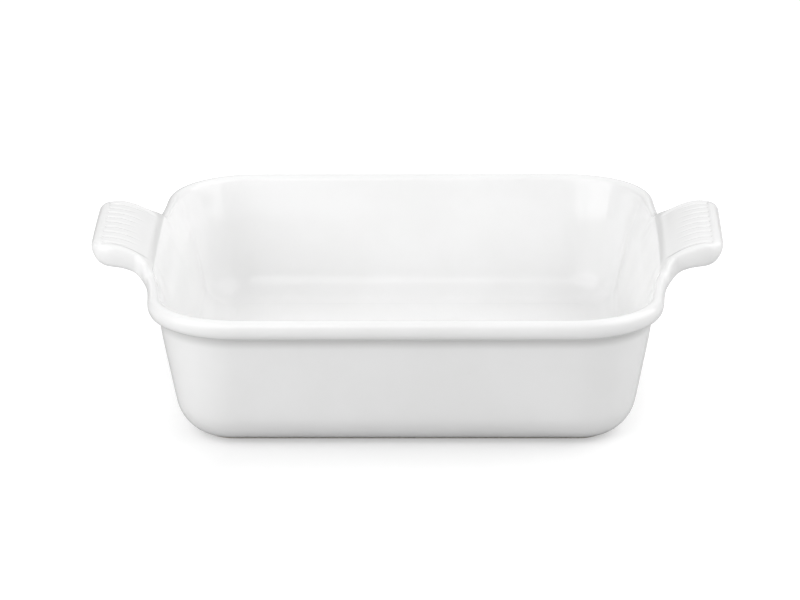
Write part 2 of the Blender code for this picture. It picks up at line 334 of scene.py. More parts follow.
NECK_REACH = 9.5 * MM  # from the rim's outer line out to where the blade's side ends
FILLET_PULLS = ((0.8 * MM, 60 * MM), (2.7 * MM, None))  # its curve's inner points, out and along
FILLET_POWER = 1.7  # draws the columns together at the neck
BLADE_START = 3 * MM  # inside the rim's outer line, where the blade's upper face starts to rise
SWELL_START = 15.5 * MM  # outside that line, where the blade has its named thickness
CAGE_LIFT = 0.35 * MM  # what subdivision takes off the handle's top
SLIP = 6.3 * MM  # how far the top of a column slips along the ridge
LIP_LIFT = 2.5 * MM  # how much higher the last row under the ridge lies than under the bead
LEAN_BELOW, LEAN_ABOVE = 1.2, 1.16  # lean over flare, below and above the parting line
FLANK = (3.0 * MM, 5.0 * MM)  # width of the blade's upper edge at its root and at its tip
EDGE_RUN = (2.0 * MM, 3.8 * MM)  # width of that edge's rounding on the blade and at its tip
EDGE_DROP = (5.4 * MM, 3.6 * MM)  # height of that rounding there
UNDER_RUN = (2.2 * MM, 3.4 * MM, 12.5 * MM)  # width of the lower rounding: rim, blade, tip
UNDER_POWER = (3.2, 1.8)  # 2 makes the lower rounding an ellipse, and more squares it
BLADE_ROOT_HEIGHT = 50.5 * MM  # where the blade's underside meets the wall


def handle_height(x):
    """Height of the blade's upper face: a parabola up from the rim that ends level."""
    run = TIP_X - HALF_WIDTH + BLADE_START - handle_sizes().level
    left = max(TIP_X - handle_sizes().level - x, 0.0) / run
    return RIM_TOP + (HANDLE_TOP + CAGE_LIFT - RIM_TOP) * (1 - left ** 2)


def handle_floor(x):
    """Height of the blade's underside: the blade grows thicker towards its tip."""
    growth = handle_sizes().swell * (x - HALF_WIDTH - SWELL_START)
    return handle_height(x) - handle_sizes().thickness - growth


def bezier(points, t):
    """Point of a cubic curve, from its first point at 0 to its last at 1."""
    a, b, c, d = points
    return a * (1 - t) ** 3 + b * 3 * t * (1 - t) ** 2 + c * 3 * t * t * (1 - t) + d * t ** 3


def bezier_direction(points, t):
    """Way along that curve, with a length that means nothing."""
    a, b, c, d = points
    return (b - a) * (1 - t) ** 2 + (c - b) * 2 * t * (1 - t) + (d - c) * t * t


def outline(place):
    """Outer line of rim and handle in plan, and the way in from it, for a column's place."""
    half = handle_sizes().half_width
    radius = handle_sizes().tip_radius
    tip_end = TIP_COLUMNS * COLUMN_PITCH
    arc_end = tip_end + ARC_COLUMNS * COLUMN_PITCH
    if place <= tip_end:
        return Vector((TIP_X, place * (half - radius) / tip_end)), Vector((-1.0, 0.0))
    if place <= arc_end:
        angle = math.pi / 2 * (place - tip_end) / (arc_end - tip_end)
        inward = Vector((-math.cos(angle), -math.sin(angle)))
        return Vector((TIP_X - radius, half - radius)) - inward * radius, inward
    neck = Vector((HALF_WIDTH + NECK_REACH, half))
    if place <= NECK_PLACE:
        share = (place - arc_end) / (NECK_PLACE - arc_end)
        return Vector((TIP_X - radius, half)).lerp(neck, share), Vector((0.0, -1.0))
    straight = side_half(0.0)
    pulls = [Vector((HALF_WIDTH + out, along or half)) for out, along in FILLET_PULLS]
    line = (Vector((HALF_WIDTH, straight)), *pulls, neck)
    t = max((straight - place) / (straight - NECK_PLACE), 0.0) ** FILLET_POWER
    along = bezier_direction(line, t).normalized()
    return bezier(line, t), Vector((along.y, -along.x))


def top_height(at):
    """Height of the top of rim or blade over a plan position, before its edges are rounded."""
    droop = handle_sizes().droop * (at.y / handle_sizes().half_width) ** 2
    return RIM_TOP + (handle_height(at.x) - droop - RIM_TOP) * near(abs(at.y), TOP_SPAN)


def flare(place):
    """How far the top of the wall leans out inside, behind and beside a handle."""
    return handle_sizes().flare * near(place, FLARE_SPAN)


def slip(place):
    """How far the top of a column slips along the ridge, to run straight out over the blade."""
    return SLIP * near(place, SLIP_END) * (1 - near(place, SLIP_START))


def ridge_share(place):
    """1 where a column meets the crisp ridge, 0 where it meets the rim's roll."""
    end = handle_sizes().ridge_half
    return near(place - slip(place), (end - RIDGE_FADE, end + RIDGE_FADE))


def inner_rows(place, slipped, outward, plan):
    """Points up the wall inside and over its lip, which leans out towards a handle."""
    insets = [(wall_inset(z) + sizes().wall_thickness, z) for z in INNER_WALL_HEIGHTS]
    points = []
    for (inset, z), share in zip(insets + list(LIP_ROWS), LEAN_SHARES):
        here = place - slipped * share
        above = z > PARTING_HEIGHT
        lift = LIP_LIFT * near(here, LIP_SPAN) if above else 0.0
        lean = flare(here) * (LEAN_ABOVE if above else LEAN_BELOW)
        at = plan(inset) + (outward * lean + Vector((0.0, -slipped))) * share
        points.append((at, z + lift))
    return points


def under_rows(edge, inward, equator, blade, tip, plan):
    """Points under the bead or the blade, from the outer line in to the root on the wall."""
    root = plan(UNDER_BEAD[-1][0])
    run = mix(mix(UNDER_RUN[0], UNDER_RUN[1], blade), UNDER_RUN[2], tip)
    power = mix(*UNDER_POWER, tip)
    low_end = edge + inward * run
    drop = equator - handle_floor(low_end.x)
    under_blade = []
    for angle in LOW_ANGLES:
        share = 1 - math.cos(math.radians(angle))
        curve = (1 - (1 - share) ** power) ** (1 / power)
        under_blade.append((edge + inward * run * share, equator - drop * curve))
    for share in UNDER_SHARES:
        at = low_end + (root - low_end) * share
        under_blade.append((at, handle_floor(at.x)))
    under_blade.append((plan(wall_inset(BLADE_ROOT_HEIGHT)), BLADE_ROOT_HEIGHT))
    points = []
    for (inset, z), (at, height) in zip(UNDER_BEAD, under_blade):
        plain = edge + (root - edge) * inset / UNDER_BEAD[-1][0]
        points.append((plain.lerp(at, blade), mix(z, height, blade)))
    return points


def column_profile(place, beyond, plan):
    """Points of one column from the inner cove to the outer one, in the side's own axes.

    place is the distance from the middle of a side that carries a handle, or None elsewhere,
    beyond is the same distance carried on round the corner, and plan(inset) gives a plan
    position on the plain rim.
    """
    has_handle = place is not None
    if has_handle:
        edge, inward = outline(place)
        outward = Vector((1.0, 0.0))
        ridge, blade, tip = ridge_share(place), near(place, BLADE_SPAN), near(place, TIP_SPAN)
        slipped = slip(place)
    else:
        edge, inward = plan(0.0), (plan(CROWN_INNER[0]) - plan(0.0)) / CROWN_INNER[0]
        outward = -inward
        ridge = blade = tip = slipped = 0.0
        place = beyond

    def top(at):
        return top_height(at) if has_handle else RIM_TOP

    lean = mix(flare(place - slipped), CROWN_INNER[0] - handle_sizes().ridge_inset, ridge)
    inner_line = plan(CROWN_INNER[0]) + outward * lean + Vector((0.0, -slipped))
    points = inner_rows(place, slipped, outward, plan)
    points.append((inner_line, mix(CROWN_INNER[1], handle_sizes().ridge_height, ridge)))

    seat = edge + inward * mix(sizes().crown, mix(*FLANK, near(place, FLANK_SPAN)), blade)
    for step in range(TOP_STEPS - 1, -1, -1):
        angle = CROWN_TURN * step / TOP_STEPS
        rolled = math.sin(angle) / math.sin(CROWN_TURN)
        across = TOP_SHARES[step - 1] if step else 0.0
        at = seat + (inner_line - seat) * mix(rolled, across, blade)
        drop = CROWN_INNER_DROP * (1 - math.cos(angle)) / (1 - math.cos(CROWN_TURN)) * (1 - ridge)
        points.append((at, top(at) - drop))

    run = mix(mix(sizes().crown, EDGE_RUN[0], blade), EDGE_RUN[1], tip)
    rise = mix(mix(sizes().crown, EDGE_DROP[0], blade), EDGE_DROP[1], tip)
    equator = top(edge + inward * run) - rise
    for angle in reversed(EDGE_ANGLES):
        angle = math.radians(angle)
        at = edge + inward * run * (1 - math.cos(angle))
        points.append((at, equator + (top(at) - equator) * math.sin(angle)))
    points.append((edge, equator))
    points += under_rows(edge, inward, equator, blade, tip, plan)
    return points + [(plan(wall_inset(z)), z) for z in OUTER_WALL_HEIGHTS]


def column(place, beyond, plan):
    """One whole column, from the floor's seam inside to the seam outside."""
    seam = HALF_WIDTH - FLOOR_SEAM
    inner = cove_rows(sizes().inner_cove, FLOOR_TOP, FLOOR_TOP, sizes().wall_thickness,
                      INNER_COVE_STEPS)
    outer = cove_rows(sizes().cove, 0.0, UNDERSIDE, 0.0, OUTER_COVE_STEPS)
    points = [(plan(seam), FLOOR_TOP)]
    points += [(plan(inset), z) for inset, z in inner]
    points += column_profile(place, beyond, plan)
    points += [(plan(inset), z) for inset, z in reversed(outer)]
    points.append((plan(seam), UNDERSIDE))
    return points


PARTING_ROW = INNER_COVE_STEPS + len(INNER_WALL_HEIGHTS) + 3  # between wall and rim, inside
RIDGE_ROW = PARTING_ROW + 2
ROOT_ROW = RIDGE_ROW + TOP_STEPS + len(EDGE_ANGLES) + 1 + len(UNDER_BEAD)
LAST_ROW = ROOT_ROW + len(OUTER_WALL_HEIGHTS) + OUTER_COVE_STEPS + 2
LEVELS = 2  # of subdivision
FINE = 2 ** LEVELS  # lines of the finished mesh for each line of the cage

PIECE_LAYER = "piece"
ROW_LAYER = "row"
AHEAD_LAYER = "ahead"
ASIDE_LAYER = "aside"
FLOOR, WALL, RIM, HANDLE_RIGHT, HANDLE_LEFT = range(5)  # numbers of the casting's pieces


def side_places():
    """Places of the columns along half of a side that carries a handle, from its middle."""
    places = [i * COLUMN_PITCH for i in range(TIP_COLUMNS + ARC_COLUMNS + 1)]
    return places + list(FAN_PLACES) + [side_half(0.0)]


def stations():
    """Columns round the dish: (quarter turns, place along a side or None, angle or None)."""
    half = side_places()
    handle_side = [-p for p in reversed(half)] + half[1:]
    straight = side_half(0.0)
    plain_side = [mix(-straight, straight, i / FRONT_COLUMNS) for i in range(FRONT_COLUMNS + 1)]
    found = []
    for turn in range(4):
        side = handle_side if turn % 2 == 0 else plain_side
        found += [(turn, place, None) for place in side]
        found += [(turn, None, math.pi / 2 * i / CORNER_COLUMNS) for i in range(1, CORNER_COLUMNS)]
    return found


def station_column(turn, place, angle):
    """Points of a column in the frame."""
    if angle is not None:
        def plan(inset):
            centre = side_half(inset)
            radius = corner_radius(inset)
            return Vector((centre + radius * math.cos(angle), centre + radius * math.sin(angle)))
        arc = angle if turn % 2 == 0 else math.pi / 2 - angle
        points = column(None, side_half(0.0) + arc * corner_radius(LIP_ROWS[1][0]), plan)
        flip = 1
    else:
        flip = -1 if place < 0 else 1

        def plan(inset):
            return Vector((HALF_WIDTH - inset, abs(place) * side_half(inset) / side_half(0.0)))
        along = abs(place)
        points = column(along, along, plan) if turn % 2 == 0 else column(None, HALF_WIDTH, plan)
    turned = Matrix.Rotation(turn * math.pi / 2, 2)
    found = []
    for at, z in points:
        at = turned @ Vector((at.x, at.y * flip))
        found.append((at.x, at.y, z))
    return found


def piece_of(row, turn, place):
    """Which piece the cage's face above a row and beside a station belongs to."""
    if row < PARTING_ROW or row >= ROOT_ROW:
        return WALL
    on_handle = place is not None and turn % 2 == 0 and abs(place) < ROOT_PLACE
    if row >= RIDGE_ROW and on_handle:
        return HANDLE_LEFT if turn else HANDLE_RIGHT
    return RIM


def cage():
    """The casting's cage without the flat of its floor.

    Each face carries the number of its piece and each vertex its row and column.

    A column is kept as the cosine and sine of its share of a full turn, which stay true
    between the last column and the first.
    """
    bm = bmesh.new()
    piece = bm.faces.layers.int.new(PIECE_LAYER)
    row_layer = bm.verts.layers.float.new(ROW_LAYER)
    ahead = bm.verts.layers.float.new(AHEAD_LAYER)
    aside = bm.verts.layers.float.new(ASIDE_LAYER)
    crease = bm.edges.layers.float.new("crease_edge")
    columns = stations()
    grid = []
    for index, (turn, place, angle) in enumerate(columns):
        line = []
        for row, point in enumerate(station_column(turn, place, angle)):
            vert = bm.verts.new(point)
            vert[row_layer] = row
            vert[ahead] = math.cos(2 * math.pi * index / len(columns))
            vert[aside] = math.sin(2 * math.pi * index / len(columns))
            line.append(vert)
        grid.append(line)
    count = len(grid)
    for i in range(count):
        turn, place, _ = columns[i]
        _, beside, _ = columns[(i + 1) % count]
        middle = None if place is None or beside is None else (place + beside) / 2
        here, after = grid[i], grid[(i + 1) % count]
        for row in range(len(here) - 1):
            face = bm.faces.new((here[row], here[row + 1], after[row + 1], after[row]))
            face[piece] = piece_of(row, turn, middle)
            face.smooth = True
        if middle is not None and turn % 2 == 0:
            edge = bm.edges.get((here[RIDGE_ROW], after[RIDGE_ROW]))
            edge[crease] = max(CREASE * near(abs(middle), CREASE_SPAN),
                               FAINT_CREASE * near(abs(middle), FAINT_CREASE_SPAN))
    return bm


def shaped(bm, name):
    """The cage as a temporary object, subdivided twice."""
    mesh = bpy.data.meshes.new(name)
    bm.to_mesh(mesh)
    bm.free()
    shape = placed(name, mesh)
    subdivision = shape.modifiers.new("Subdivision", "SUBSURF")
    subdivision.levels = subdivision.render_levels = LEVELS
    return shape


def baked(shape):
    """Mesh of an object with its modifiers applied; the object is removed."""
    bpy.context.view_layer.update()
    evaluated = shape.evaluated_get(bpy.context.evaluated_depsgraph_get())
    mesh = bpy.data.meshes.new_from_object(evaluated)
    source = shape.data
    shape.modifiers.clear()
    bpy.data.objects.remove(shape)
    bpy.data.meshes.remove(source)
    return mesh


class Fields:
    """Short words for a node tree's maths."""

    def __init__(self, tree):
        self.tree = tree

    def node(self, kind, inputs=(), **settings):
        """A new node, with its inputs linked to sockets or set to values."""
        made = self.tree.nodes.new(kind)
        for name, value in settings.items():
            setattr(made, name, value)
        for socket, value in inputs:
            if isinstance(value, bpy.types.NodeSocket):
                self.tree.links.new(value, made.inputs[socket])
            else:
                made.inputs[socket].default_value = value
        return made

    def math(self, operation, *values):
        return self.node("ShaderNodeMath", list(enumerate(values)), operation=operation).outputs[0]

    def times(self, first, *others):
        """The product of all of them."""
        for other in others:
            first = self.math("MULTIPLY", first, other)
        return first

    def moved(self, value, by):
        """The sum of both."""
        return self.math("ADD", value, by)

    def within(self, share, span):
        """The value at a share of the way through a span."""
        return self.math("MULTIPLY_ADD", share, span[1] - span[0], span[0])

    def parts(self, vector):
        """X, Y and Z of a vector, by name."""
        return self.node("ShaderNodeSeparateXYZ", ((0, vector),)).outputs

    def spot(self):
        """Size of X, size of Y, and Z of the object's own coordinates."""
        place = self.parts(self.node("ShaderNodeTexCoord").outputs["Object"])
        return *(self.math("ABSOLUTE", place[axis]) for axis in "XY"), place["Z"]

    def ramp(self, value, low, high, start=0.0, end=1.0):
        """start where value is low, end where it is high, and smooth between."""
        inputs = (("Value", value), ("From Min", low), ("From Max", high),
                  ("To Min", start), ("To Max", end))
        return self.node("ShaderNodeMapRange", inputs, interpolation_type="SMOOTHSTEP").outputs[0]

    def ramp_from(self, value, place, span, start=0.0, end=1.0):
        """A ramp over a span that is measured from another value."""
        return self.ramp(value, self.moved(place, span[0]), self.moved(place, span[1]), start, end)


GROOVE_INPUTS = {
    "Count": "Int", "Pitch": "Float", "Width": "Float", "Depth": "Float", "Outer end": "Float",
    "Length": "Float", "Panel sink": "Float", "Panel half width": "Float",
    "Panel start": "Float", "Seed": "Int", "Material": "Material"}
GROOVE_SEED = 7
SIDE_MARK = 50.0  # keeps the chances of the two handles' grooves apart
WANDER = 0.25 * MM  # how far a groove's line waves to either side
WANDER_LENGTH = 12 * MM
PHASE_SPREAD = 6.0  # radians by which the grooves' waves differ
LENGTH_SHARES = (0.8, 1.1)  # shortest and longest groove, of the named length
DEPTH_SHARES = (0.8, 1.2)
END_SPREAD = 0.5 * MM  # how far the grooves' outer ends differ
END_FADE = 0.5 * MM
ROOT_FADE = 8 * MM  # a groove's shallow start at the root
DEEPENING = (-5 * MM, -1 * MM)  # before the outer end, where a groove grows deeper
OUTER_DEPTH = 2.0  # times as deep there
PANEL_MARGIN = 3.8 * MM  # from the blade's long edges in to the panel
PANEL_GAP = 1.0 * MM  # from the rim's outer line to the panel
PANEL_SIDE = (-2.4 * MM, 1.6 * MM)  # slope of the panel's long edges, from their named place
PANEL_TIP = (-0.2 * MM, 1.6 * MM)  # slope of its outer edge, from the grooves' ends
PANEL_ROOT = 4 * MM  # slope at its root
UPPER_FACES = (0.3, 0.75)  # Z of the normal, from untouched faces to those pressed fully


def groove_tree():
    """Node tree that presses a sunken panel and its row of grooves into both handles."""
    tree = bpy.data.node_groups.new("grip grooves", "GeometryNodeTree")
    tree.interface.new_socket("Geometry", in_out="INPUT", socket_type="NodeSocketGeometry")
    for name, kind in GROOVE_INPUTS.items():
        tree.interface.new_socket(name, in_out="INPUT", socket_type="NodeSocket" + kind)
    tree.interface.new_socket("Geometry", in_out="OUTPUT", socket_type="NodeSocketGeometry")
    fields = Fields(tree)
    given = tree.nodes.new("NodeGroupInput").outputs
    place = fields.parts(fields.node("GeometryNodeInputPosition").outputs[0])
    facing = fields.parts(fields.node("GeometryNodeInputNormal").outputs[0])
    out = fields.math("ABSOLUTE", place["X"])
    side = fields.math("SIGN", place["X"])

    # The nearest groove, counted from the blade's middle, and its own chance
    last = fields.times(fields.moved(given["Count"], -1.0), 0.5)
    number = fields.math("ROUND", fields.math("DIVIDE", place["Y"], given["Pitch"]))
    number = fields.math("MAXIMUM", number, fields.times(last, -1.0))
    number = fields.math("MINIMUM", number, last)
    mark = fields.math("MULTIPLY_ADD", side, SIDE_MARK, number)
    chance = fields.node("FunctionNodeRandomValue", (("ID", mark), ("Seed", given["Seed"])),
                         data_type="FLOAT").outputs["Value"]

    # Its section across, and how it starts and ends along the blade
    wave = fields.math("SINE", fields.math("MULTIPLY_ADD", out, 2 * math.pi / WANDER_LENGTH,
                                           fields.times(chance, PHASE_SPREAD)))
    middle = fields.math("MULTIPLY_ADD", number, given["Pitch"], fields.times(wave, WANDER))
    off = fields.math("ABSOLUTE", fields.math("SUBTRACT", place["Y"], middle))
    across = fields.math("MINIMUM", fields.math("DIVIDE", off, fields.times(given["Width"], 0.5)),
                         1.0)
    across = fields.math("MULTIPLY_ADD", fields.math("COSINE", fields.times(across, math.pi)),
                         0.5, 0.5)
    end = fields.math("MULTIPLY_ADD", chance, END_SPREAD, given["Outer end"])
    length = fields.times(given["Length"], fields.within(chance, LENGTH_SHARES))
    start = fields.math("SUBTRACT", end, length)
    crisp = fields.ramp_from(out, end, (-END_FADE, END_FADE), 1.0, 0.0)
    fading = fields.ramp_from(out, start, (0.0, ROOT_FADE))
    deep = fields.times(given["Depth"], fields.within(chance, DEPTH_SHARES))
    deep = fields.times(deep, fields.ramp_from(out, end, DEEPENING, 1.0, OUTER_DEPTH))

    # The panel that they lie in, and only upper faces are pressed in
    panel = fields.times(
        fields.ramp_from(fields.math("ABSOLUTE", place["Y"]), given["Panel half width"],
                         PANEL_SIDE, 1.0, 0.0),
        fields.ramp_from(out, end, PANEL_TIP, 1.0, 0.0),
        fields.ramp_from(out, given["Panel start"], (0.0, PANEL_ROOT)))
    sunk = fields.math("MULTIPLY_ADD", panel, given["Panel sink"],
                       fields.times(crisp, fading, across, deep))
    sunk = fields.times(sunk, fields.ramp(facing["Z"], *UPPER_FACES, 0.0, -1.0))
    shift = fields.node("ShaderNodeCombineXYZ", (("Z", sunk),)).outputs[0]
    moved = fields.node("GeometryNodeSetPosition",
                        (("Geometry", given["Geometry"]), ("Offset", shift)))
    real = fields.node("GeometryNodeRealizeInstances", ((0, moved.outputs[0]),))
    painted = fields.node("GeometryNodeSetMaterial",
                          (("Geometry", real.outputs[0]), ("Material", given["Material"])))
    fields.node("NodeGroupOutput", ((0, painted.outputs[0]),))
    return tree


def add_grooves(shape, material):
    """Press the grooves into the casting, with the sizes given there."""
    grooves = bpy.context.scene.groove_sizes
    tree = groove_tree()
    values = {
        "Count": grooves.count, "Pitch": grooves.pitch, "Width": grooves.width,
        "Depth": grooves.depth, "Outer end": TIP_X - grooves.margin, "Length": grooves.length,
        "Panel sink": grooves.panel_sink,
        "Panel half width": handle_sizes().half_width - PANEL_MARGIN,
        "Panel start": HALF_WIDTH + PANEL_GAP, "Seed": GROOVE_SEED, "Material": material}
    modifier = shape.modifiers.new("Grooves", "NODES")
    modifier.node_group = tree
    for item in tree.interface.items_tree:
        if item.in_out == "INPUT" and item.name in values:
            modifier[item.identifier] = values[item.name]


class Skin:
    """The finished surface of the whole casting, as arrays that the pieces are parted from."""

    def __init__(self, mesh):
        self.spots = [tuple(v.co) for v in mesh.vertices]
        self.normals = [tuple(n.vector) for n in mesh.vertex_normals]
        self.faces = [tuple(p.vertices) for p in mesh.polygons]
        self.pieces = [d.value for d in mesh.attributes[PIECE_LAYER].data]
        rows = [round(d.value * FINE) for d in mesh.attributes[ROW_LAYER].data]
        ahead = mesh.attributes[AHEAD_LAYER].data
        aside = mesh.attributes[ASIDE_LAYER].data
        self.lines = FINE * len(stations())
        self.at = {}
        for v, row in enumerate(rows):
            turn = math.atan2(aside[v].value, ahead[v].value) / (2 * math.pi)
            self.at[row, round(turn * self.lines) % self.lines] = v
        self.waists = {}
        self.cuts = {}
        self.add_flat(0, 1.0)
        self.add_flat(FINE * LAST_ROW, -1.0)

    def add_flat(self, row, facing):
        """Flat middle of the floor inside one of its seams, in rings down to one point."""
        ring = [self.at[row, i] for i in range(self.lines)]
        for share in FLAT_SHARES:
            beside = []
            for i in range(self.lines):
                x, y, z = self.spots[self.at[row, i]]
                beside.append(self.add_spot((x * share, y * share, z), facing))
            self.add_faces([(ring[i], ring[i - 1], beside[i - 1], beside[i])
                            for i in range(self.lines)], facing)
            ring = beside
        middle = self.add_spot((0.0, 0.0, self.spots[ring[0]][2]), facing)
        self.add_faces([(ring[i], ring[i - 1], middle) for i in range(self.lines)], facing)

    def add_spot(self, spot, facing):
        self.spots.append(spot)
        self.normals.append((0.0, 0.0, facing))
        return len(self.spots) - 1

    def add_faces(self, faces, facing):
        self.faces += [f[::-1] for f in faces] if facing > 0 else faces
        self.pieces += [FLOOR] * len(faces)

    def vertex(self, row, line):
        """Vertex of the finished mesh on a row of the cage and a fine column."""
        return self.at[FINE * row, line % self.lines]

    def strip(self, low, high):
        """Quads between two rows of the cage, right round and inside the casting."""
        return [(self.vertex(low, i), self.vertex(low, i + 1), self.vertex(high, i + 1),
                 self.vertex(high, i)) for i in range(self.lines)]

    def between(self, low, high):
        """New point inside the casting, midway between two vertices."""
        middle = Vector(self.spots[low]).lerp(Vector(self.spots[high]), 0.5)
        return self.add_spot(tuple(middle), 1.0)

    def waist(self, line):
        """Point inside the casting at a column, midway between the parting line and the crease."""
        line %= self.lines
        if line not in self.waists:
            self.waists[line] = self.between(self.vertex(PARTING_ROW, line),
                                             self.vertex(ROOT_ROW - 1, line))
        return self.waists[line]

    def side(self, line):
        """Triangles of a handle's cut at a column: two fans inside, met at the crease's corner."""
        skin = [self.at[row, line % self.lines]
                for row in range(FINE * RIDGE_ROW, FINE * ROOT_ROW + 1)]
        corner = FINE * (ROOT_ROW - 2 - RIDGE_ROW)
        waist = self.waist(line)
        heart = self.between(self.vertex(PARTING_ROW + 1, line), skin[corner - FINE])
        faces = [(*pair, heart) for pair in zip(skin[:corner], skin[1:])]
        faces += [(*pair, waist) for pair in zip(skin[corner:], skin[corner + 1:])]
        return faces + [(skin[corner], waist, heart), (waist, skin[0], heart)]

    def cut(self, start, end):
        """Faces between a handle and the rim, bent inwards behind the crease beneath it."""
        if start not in self.cuts:
            lines = [(self.vertex(RIDGE_ROW, i), self.waist(i), self.vertex(ROOT_ROW, i))
                     for i in range(start, end + 1)]
            faces = [(here[k], after[k], after[k + 1], here[k + 1])
                     for here, after in zip(lines, lines[1:]) for k in (0, 1)]
            self.cuts[start] = faces + self.side(start) + self.side(end)
        return self.cuts[start]


def handle_spans():
    """First and last fine column of the right and left handle."""
    spans = {}
    columns = stations()
    for turn in (0, 2):
        inside = [i for i, (t, place, _) in enumerate(columns)
                  if t == turn and place is not None and abs(place) <= ROOT_PLACE + 0.01 * MM]
        spans[turn] = (FINE * inside[0], FINE * inside[-1])
    return spans


SKINS = {}  # the last skin, by the sizes that it was formed with


def casting_skin():
    """The casting's skin, formed anew only when a size has changed."""
    scene = bpy.context.scene
    groups = (scene.dish_sizes, scene.handle_sizes, scene.groove_sizes)
    key = tuple(getattr(group, name) for group in groups for name in setting_names(group))
    if key not in SKINS:
        shape = shaped(cage(), "casting")
        add_grooves(shape, white_glaze())
        mesh = baked(shape)
        SKINS.clear()
        SKINS[key] = Skin(mesh)
        bpy.data.meshes.remove(mesh)
    return SKINS[key]


def glazed_piece(name, number, caps):
    """A closed piece: its part of the skin, shaded as the whole is, and caps that close it."""
    skin = casting_skin()
    kept = [f for f, piece in zip(skin.faces, skin.pieces) if piece == number]
    if not kept:
        raise RuntimeError(f"the casting has no {name}")
    used = sorted({v for f in kept for v in f} | {v for cap in caps for v in cap})
    place = {v: i for i, v in enumerate(used)}
    bm = bmesh.new()
    outside = bm.faces.layers.int.new("outside")
    verts = [bm.verts.new(skin.spots[v]) for v in used]
    for faces, mark in ((kept, 1), (caps, 0)):
        for f in faces:
            made = bm.faces.new([verts[place[v]] for v in f])
            made[outside] = mark
            made.smooth = mark == 1
    bmesh.ops.triangulate(bm, faces=[f for f in bm.faces if len(f.verts) > 4])
    bmesh.ops.recalc_face_normals(bm, faces=bm.faces)
    open_edges = sum(1 for e in bm.edges if len(e.link_faces) != 2)
    if open_edges:
        raise RuntimeError(f"{name} is open at {open_edges} edges")
    mesh = bpy.data.meshes.new(name)
    bm.to_mesh(mesh)
    bm.free()
    marks = [d.value for d in mesh.attributes["outside"].data]
    normals = []
    for polygon in mesh.polygons:
        flat = tuple(polygon.normal)
        normals += [skin.normals[used[v]] if marks[polygon.index] else flat
                    for v in polygon.vertices]
    mesh.attributes.remove(mesh.attributes["outside"])
    mesh.normals_split_custom_set(normals)
    return finished(name, mesh, white_glaze(), name)


def finished(name, mesh, material, node):
    """An object at the origin that stands for a node of the frame."""
    piece = placed("visible_" + name, mesh)
    mesh.materials.clear()
    mesh.materials.append(material)
    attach(piece, "root")
    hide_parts(node)
    return piece


# Painted shade behind a handle's ridge: where its band lies.
VALLEY_INNER = (HALF_WIDTH - 0.9 * MM, HALF_WIDTH - 0.3 * MM)  # across the ridge, from inside
VALLEY_OUTER = (HALF_WIDTH + 1.6 * MM, HALF_WIDTH + 3.4 * MM)
VALLEY_HALF = (44 * MM, 49 * MM)  # along the ridge, from its middle
VALLEY_HEIGHT = (66 * MM, 68 * MM)
# Painted shade on the neck under the bead: its heights, and the line that keeps it off the wall
# inside.
NECK_LOW, NECK_HIGH = (51.5 * MM, 56 * MM), (57.3 * MM, 60.5 * MM)
NECK_INSET = 6.7 * MM  # of the line between the neck outside and the wall inside
NECK_FADE = 0.4 * MM  # to either side of that line
NECK_WIDENING = (57.4 * MM, 58.6 * MM)  # heights between which that line moves out
NECK_WIDER = 3 * MM
BENEATH_HANDLE = ((105 * MM, 112 * MM), (52 * MM, 62 * MM))  # outwards, and along the side

# Scales of the noises, in turns for each metre
GLAZE_CLOUDS, GLAZE_SPECKS, GLAZE_SHEEN = 26.0, 900.0, 60.0
GLAZE_SWELL, GLAZE_RIPPLE = 18.0, 75.0
STONEWARE_GRAIN, STONEWARE_STAINS = 1400.0, 45.0
TABLE_CLOUDS = 40.0

SPECK_TINT, VALLEY_SHADE_AMOUNT, STAIN_TINT = 0.08, 0.5, 0.35  # how much of their colours shows
TABLE_HALF = 4.0
# Painted light: for the camera the table glows more further from the dish, which fades the dish's
# shadow, sooner beside it than in front.
LIFT_SPAN = (120 * MM, 190 * MM)  # from the dish's middle, where the table turns white
SIDE_LIFT = 45 * MM  # how much sooner it does so beside the dish than in front
FAR_LIFT = 0.2  # what it adds there, beyond the table's own lift
FOOT_EDGE = 0.45 * MM  # size of the foot's rounded edges
FOOT_EDGE_MIDDLE = 0.13 * MM  # where their middle lies, in from both faces
FOOT_OVERLAP = 0.05 * MM  # how far the foot reaches into the base
FOOT_CORNER_STEPS = 14


def surface(name):
    """A material to be built from the start: it, words for its maths, and its shader."""
    material = bpy.data.materials.get(name) or bpy.data.materials.new(name)
    material.use_nodes = True
    tree = material.node_tree
    tree.nodes.clear()
    fields = Fields(tree)
    shader = fields.node("ShaderNodeBsdfPrincipled")
    fields.node("ShaderNodeOutputMaterial", (("Surface", shader.outputs[0]),))
    return material, fields, shader


def noise(fields, scale, detail=2.0, roughness=0.5, offset=0.0):
    """Noise on the object's own coordinates, scale in turns for each metre."""
    place = fields.node("ShaderNodeTexCoord").outputs["Object"]
    moved = fields.node("ShaderNodeVectorMath", ((0, place), (1, (offset, offset, offset))),
                        operation="ADD")
    inputs = (("Vector", moved.outputs[0]), ("Scale", scale), ("Detail", detail),
              ("Roughness", roughness))
    return fields.node("ShaderNodeTexNoise", inputs).outputs["Fac"]


def blend(fields, amount, first, second):
    """A tone between two colours, each a socket or three numbers."""
    made = fields.tree.nodes.new("ShaderNodeMix")
    made.data_type = "RGBA"
    sockets = [s for s in made.inputs if s.enabled]
    for socket, value in zip(sockets, (amount, first, second)):
        if isinstance(value, bpy.types.NodeSocket):
            fields.tree.links.new(value, socket)
        else:
            socket.default_value = (*value, 1.0)
    return next(s for s in made.outputs if s.enabled)


def set_bump(fields, shader, height, distance, strength):
    """Uneven surface of a shader, under its coat too where it has one."""
    bump = fields.node("ShaderNodeBump", (("Height", height), ("Distance", distance),
                                          ("Strength", strength)))
    fields.tree.links.new(bump.outputs[0], shader.inputs["Normal"])
    if shader.inputs["Coat Weight"].default_value:
        fields.tree.links.new(bump.outputs[0], shader.inputs["Coat Normal"])


